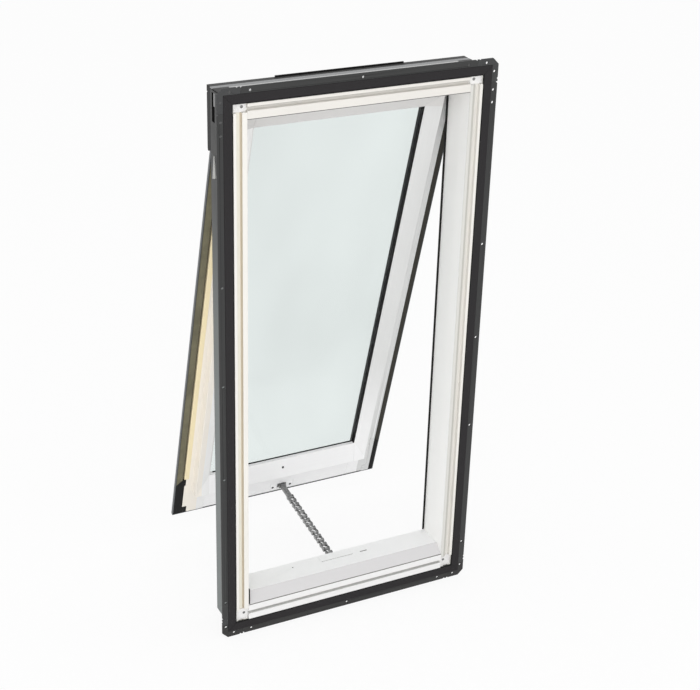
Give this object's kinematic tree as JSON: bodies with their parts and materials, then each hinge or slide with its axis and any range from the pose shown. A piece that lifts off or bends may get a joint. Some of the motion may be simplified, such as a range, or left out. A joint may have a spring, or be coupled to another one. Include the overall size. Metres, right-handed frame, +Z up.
{
  "type": "roof skylight",
  "caption": "Top-hung roof skylight with a white timber frame, dark mounting flange and gray metal covers, its glazed sash held open at the bottom by a push chain.",
  "frame": {"origin": "middle of the mounting flange on the face that lies on the roof deck", "axes": "X to the right seen from the room, Y out to the weather, Z up the roof slope, the part standing upright as in the picture"},
  "size_m": [0.576, 0.3888, 1.175],
  "materials": {
    "frame_paint": "cream white satin paint on timber",
    "sash_paint": "white satin paint on timber",
    "flange_metal": "charcoal matte coating",
    "flange_plastic": "charcoal moulded plastic",
    "foam": "black closed-cell foam",
    "clip_plastic": "white moulded plastic",
    "clip_gray": "light gray moulded plastic",
    "cover_metal": "gray satin coating",
    "head_metal": "light gray satin coating",
    "cheek_plastic": "gray moulded plastic",
    "clad_metal": "gray satin coating",
    "black_plastic": "black moulded plastic",
    "seal_rubber": "black rubber",
    "strip_rubber": "olive gray rubber",
    "spacer": "black warm-edge spacer",
    "glass": "clear glass with a pale green tint",
    "steel": "zinc plated",
    "screw_steel": "zinc plated",
    "chain_steel": "dark phosphated steel"
  },
  "bodies": {
    "frame": {"frame_jamb_left": "frame_paint", "frame_jamb_right": "frame_paint", "frame_head": "frame_paint", "frame_sill": "frame_paint", "head_bead": "frame_paint", "sill_bead": "frame_paint", "flange_left": "flange_metal", "flange_right": "flange_metal", "flange_head": "flange_metal", "flange_sill": "flange_metal", "flange_corners": "flange_plastic", "deck_seal": "foam", "lining_clips": "clip_plastic", "lining_clip_screws": "screw_steel", "side_cover_left": "cover_metal", "side_cover_right": "cover_metal", "sill_cover": "cover_metal", "head_cover": "head_metal", "hinge_cheek_left": "cheek_plastic", "hinge_cheek_right": "cheek_plastic", "side_clips": "clip_gray", "side_plugs": "black_plastic", "cover_screws": "screw_steel", "frame_seal": "seal_rubber", "operator_case": "black_plastic", "operator_cover": "frame_paint", "chain_guide": "black_plastic", "outlet_pin": "steel", "frame_hinge_leaves": "steel", "hinge_pins": "steel", "hinge_screws": "screw_steel"},
    "sash": {"sash_stile_left": "sash_paint", "sash_stile_right": "sash_paint", "sash_head_rail": "sash_paint", "sash_bottom_rail": "sash_paint", "inner_pane": "glass", "outer_pane": "glass", "spacer_bar": "spacer", "glazing_seal": "seal_rubber", "outer_glazing_seal": "seal_rubber", "sash_cladding_left": "clad_metal", "sash_cladding_right": "clad_metal", "sash_cladding_head": "clad_metal", "sash_cladding_sill": "clad_metal", "weather_strip": "strip_rubber", "sash_end_left": "black_plastic", "sash_end_right": "black_plastic", "sash_hinge_leaves": "steel", "bracket_plate": "sash_paint", "chain_bracket": "chain_steel", "bracket_screws": "screw_steel", "bracket_pin": "steel"},
    "chain": {"push_chain": "chain_steel", "chain_end_bar": "chain_steel"}
  },
  "joints": [
    {"name": "sash_hinge", "type": "hinge", "parent": "frame", "child": "sash", "pos_m": [0, 0.082, 0.541], "axis": [1, 0, 0], "range_deg": [-15.9, 0], "deforming": ["push_chain", "chain_end_bar"]},
    {"name": "chain_swing", "type": "hinge", "parent": "frame", "child": "chain", "pos_m": [0.0135, 0.06, -0.5385], "axis": [1, 0, 0], "range_deg": [-7.4, 0.1]}
  ],
  "couplings": [
    {"joint": "chain_swing", "follows": "sash_hinge", "ratio": 0.4556}
  ]
}
